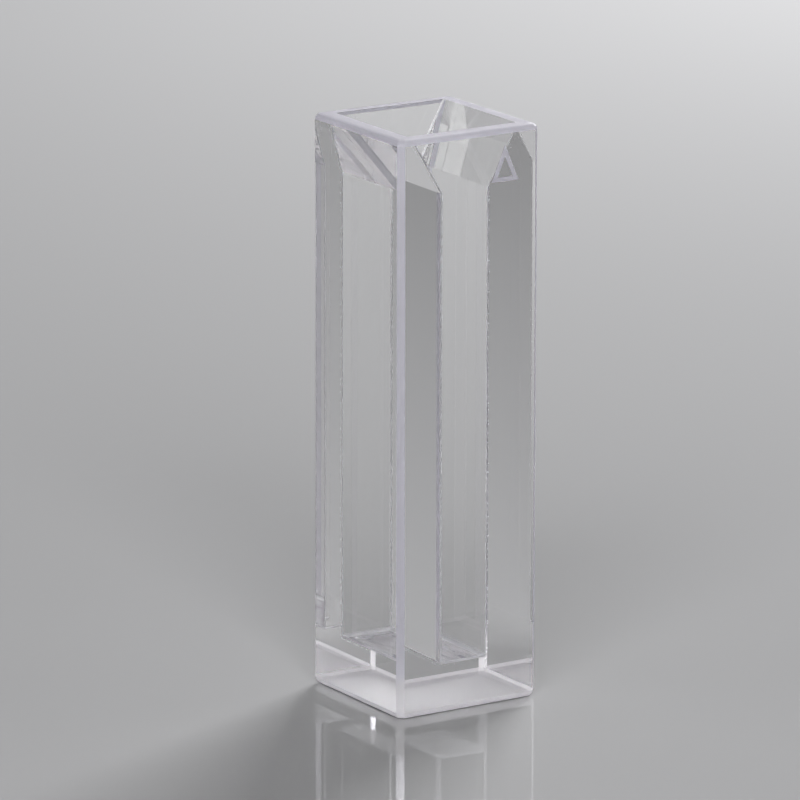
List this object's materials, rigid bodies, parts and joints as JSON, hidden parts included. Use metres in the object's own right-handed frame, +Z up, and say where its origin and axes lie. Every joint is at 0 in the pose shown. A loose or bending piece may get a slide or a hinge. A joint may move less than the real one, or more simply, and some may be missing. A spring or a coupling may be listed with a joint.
{
  "type": "cuvette",
  "caption": "Semi-micro fused-quartz cuvette with two clear windows, thick side walls, a narrow chamber, a flared mouth and ground edges.",
  "frame": {"origin": "middle of the underside that the cell stands on", "axes": "+Z up along the cell, +Y along the light path, from the window with the etched triangle at -Y to the plain one, +X across the thick side walls"},
  "size_m": [0.0126, 0.0126, 0.045],
  "materials": {
    "quartz": "polished faces, ground white on the rim, the foot and the edges"
  },
  "bodies": {
    "root": {"cell": "quartz"}
  },
  "joints": []
}
